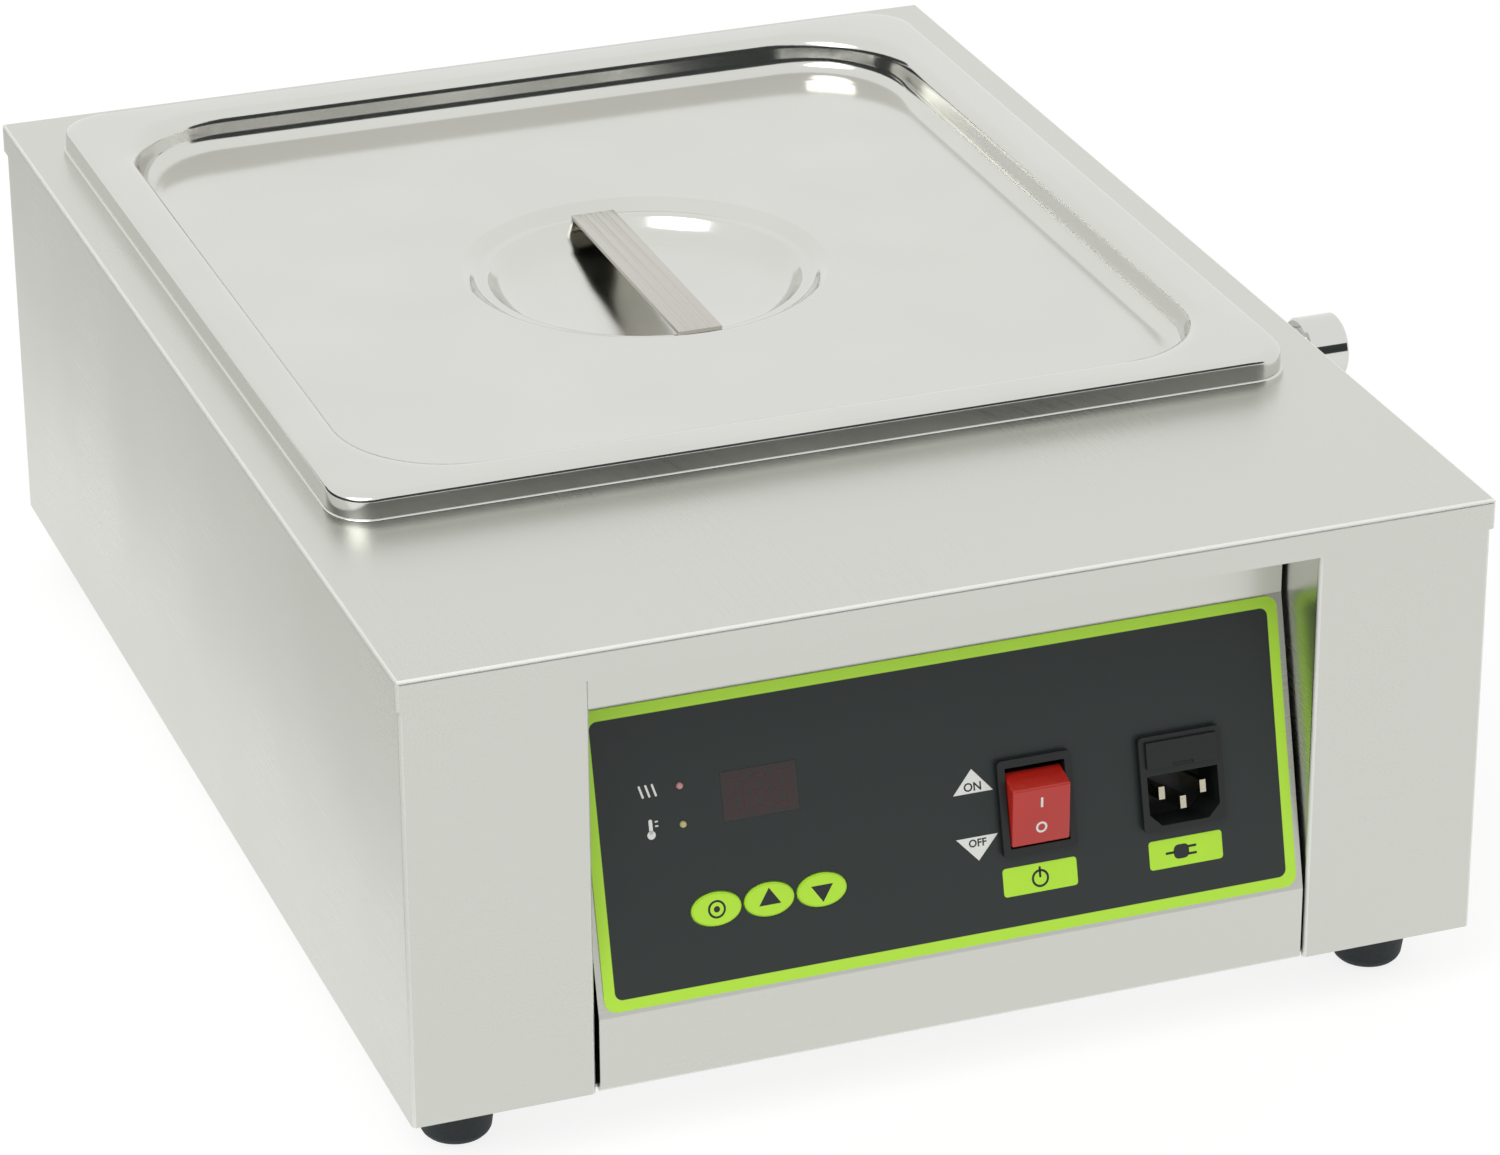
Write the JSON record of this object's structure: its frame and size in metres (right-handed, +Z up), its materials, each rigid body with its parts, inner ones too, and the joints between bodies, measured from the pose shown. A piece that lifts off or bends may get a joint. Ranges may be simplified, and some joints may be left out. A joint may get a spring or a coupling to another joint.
{
  "type": "chocolate melting pot",
  "caption": "Countertop water-bath melting pot with a folded steel casing, lift-out food pan, lid with a sunk strap handle, sloping control panel and capped side port.",
  "frame": {"origin": "on the table, below the middle of the casing's plan", "axes": "+X to the right of a person facing the control panel, +Y to the back, +Z up"},
  "size_m": [0.383, 0.4852, 0.182],
  "materials": {
    "steel_body": "satin, fine brushing",
    "steel_inner": "mill",
    "steel_lid": "bright pressed sheet",
    "steel_polished": "polished",
    "film": "matt printed film",
    "window": "dark red, clear",
    "key_film": "matt",
    "black_plastic": "satin",
    "red_plastic": "glossy",
    "lens_red": "clear",
    "lens_yellow": "clear",
    "board": "solder mask",
    "parts_plastic": "moulded",
    "white_plastic": "moulded",
    "steel_fixing": "plated",
    "brass": "turned",
    "heater": "cast",
    "mat": "glass fibre felt",
    "glass_tube": "clear",
    "brown_wire": "insulation",
    "red_wire": "silicone insulation",
    "grey_wire": "insulation",
    "rubber": "matt"
  },
  "bodies": {
    "casing": {"top_tray": "steel_body", "side_panel_left": "steel_body", "side_panel_right": "steel_body", "rear_panel": "steel_body", "base_plate": "steel_inner", "control_panel": "steel_body", "rear_screws": "steel_fixing", "base_screws": "steel_fixing", "overlay": "film", "display_window": "window", "display_module": "black_plastic", "control_board": "board", "board_components": "parts_plastic", "board_posts": "steel_fixing", "heat_lamp": "lens_red", "thermal_lamp": "lens_yellow", "key_switches": "parts_plastic", "switch_housing": "black_plastic", "switch_blades": "brass", "inlet_body": "black_plastic", "inlet_pins": "brass", "bath_tank": "steel_inner", "plate_heater": "heater", "clamp_bars": "steel_inner", "clamp_nuts": "steel_fixing", "insulation_mat": "mat", "bath_probe": "steel_fixing", "probe_gland": "brass", "overheat_cutout": "parts_plastic", "terminal_block": "white_plastic", "earth_stud": "brass", "mains_wires": "brown_wire", "heater_wires": "red_wire", "signal_wires": "grey_wire", "port_stub": "steel_polished", "port_grommet": "rubber", "feet": "rubber", "foot_screws": "steel_fixing", "foot_nuts": "steel_fixing"},
    "rocker": {"rocker": "red_plastic"},
    "set_key": {"set_key": "key_film"},
    "up_key": {"up_key": "key_film"},
    "down_key": {"down_key": "key_film"},
    "fuse_drawer": {"fuse_drawer": "black_plastic", "fuses": "glass_tube"},
    "port_washer": {"port_washer": "rubber"},
    "port_cap": {"port_cap": "steel_polished"},
    "pan": {"food_pan": "steel_lid"},
    "lid": {"lid": "steel_lid", "lid_handle": "steel_lid"}
  },
  "joints": [
    {"name": "pan_lift", "type": "slide", "parent": "casing", "child": "pan", "axis": [0, 0, 1], "range_m": [0, 0.12]},
    {"name": "lid_lift", "type": "slide", "parent": "pan", "child": "lid", "axis": [0, 0, 1], "range_m": [0, 0.06]},
    {"name": "rocker_rock", "type": "hinge", "parent": "casing", "child": "rocker", "pos_m": [0.0294, -0.22389, 0.08662], "axis": [-1, 0, 0], "range_deg": [0, 28]},
    {"name": "set_key_press", "type": "slide", "parent": "casing", "child": "set_key", "axis": [0, 0.9689, -0.2474], "range_m": [0, 0.0006], "stiffness_N_per_m": 800, "springref_m": -0.0005},
    {"name": "up_key_press", "type": "slide", "parent": "casing", "child": "up_key", "axis": [0, 0.9689, -0.2474], "range_m": [0, 0.0006], "stiffness_N_per_m": 800, "springref_m": -0.0005},
    {"name": "down_key_press", "type": "slide", "parent": "casing", "child": "down_key", "axis": [0, 0.9689, -0.2474], "range_m": [0, 0.0006], "stiffness_N_per_m": 800, "springref_m": -0.0005},
    {"name": "fuse_drawer_slide", "type": "slide", "parent": "casing", "child": "fuse_drawer", "axis": [0, -0.9689, 0.2474], "range_m": [0, 0.02]},
    {"name": "cap_travel", "type": "slide", "parent": "casing", "child": "port_washer", "axis": [1, 0, 0], "range_m": [0, 0.00602]},
    {"name": "cap_turn", "type": "hinge", "parent": "port_washer", "child": "port_cap", "pos_m": [0.1975, -0.074, 0.1528], "axis": [1, 0, 0], "range_deg": [0, 1080]}
  ],
  "couplings": [
    {"joint": "cap_travel", "follows": "cap_turn", "m_per_rad": 0.00031831}
  ]
}
